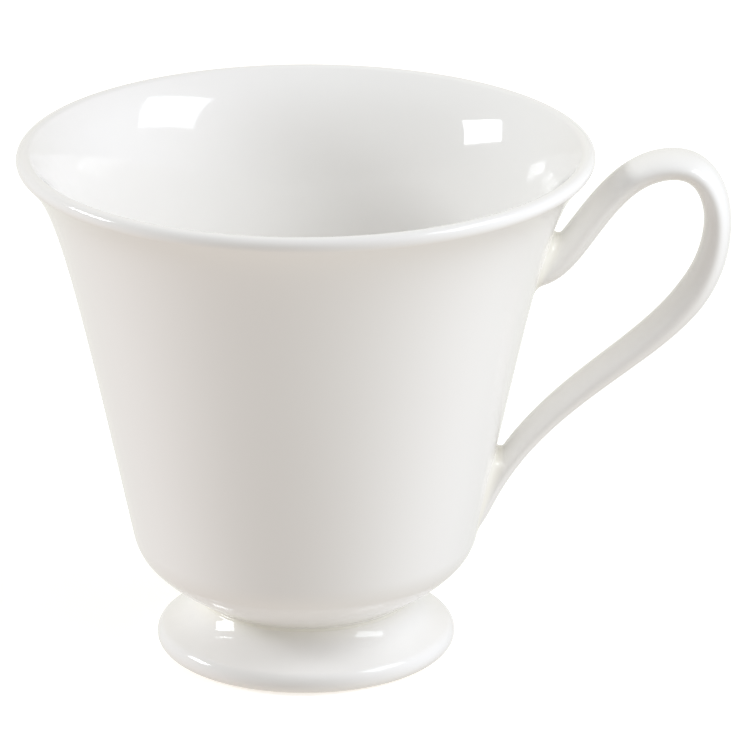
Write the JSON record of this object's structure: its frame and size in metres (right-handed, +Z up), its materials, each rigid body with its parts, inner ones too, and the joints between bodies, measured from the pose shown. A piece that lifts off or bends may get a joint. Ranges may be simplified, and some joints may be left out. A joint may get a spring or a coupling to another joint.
{
  "type": "footed espresso cup",
  "caption": "Small footed porcelain cup with a trumpet bowl, flared lip, spreading pedestal foot and a looped oval strap handle, for serving espresso.",
  "frame": {"origin": "middle of the cup's footprint, handle included, on the plane it stands on", "axes": "+Z up, +X from the bowl towards the handle, +Y to the left of the handle; the bowl's axis stands at x = -0.0085"},
  "size_m": [0.087, 0.07, 0.0645],
  "materials": {
    "bowl_porcelain": "clear gloss glaze over white porcelain",
    "foot_porcelain": "clear gloss glaze, bare on the resting ring",
    "handle_porcelain": "clear gloss glaze over white porcelain",
    "joint_slip": "fired slip under the same glaze"
  },
  "bodies": {
    "root": {"bowl": "bowl_porcelain", "pedestal_foot": "foot_porcelain", "handle": "handle_porcelain", "foot_slip_joint": "joint_slip", "upper_handle_slip_joint": "joint_slip", "lower_handle_slip_joint": "joint_slip"}
  },
  "joints": []
}
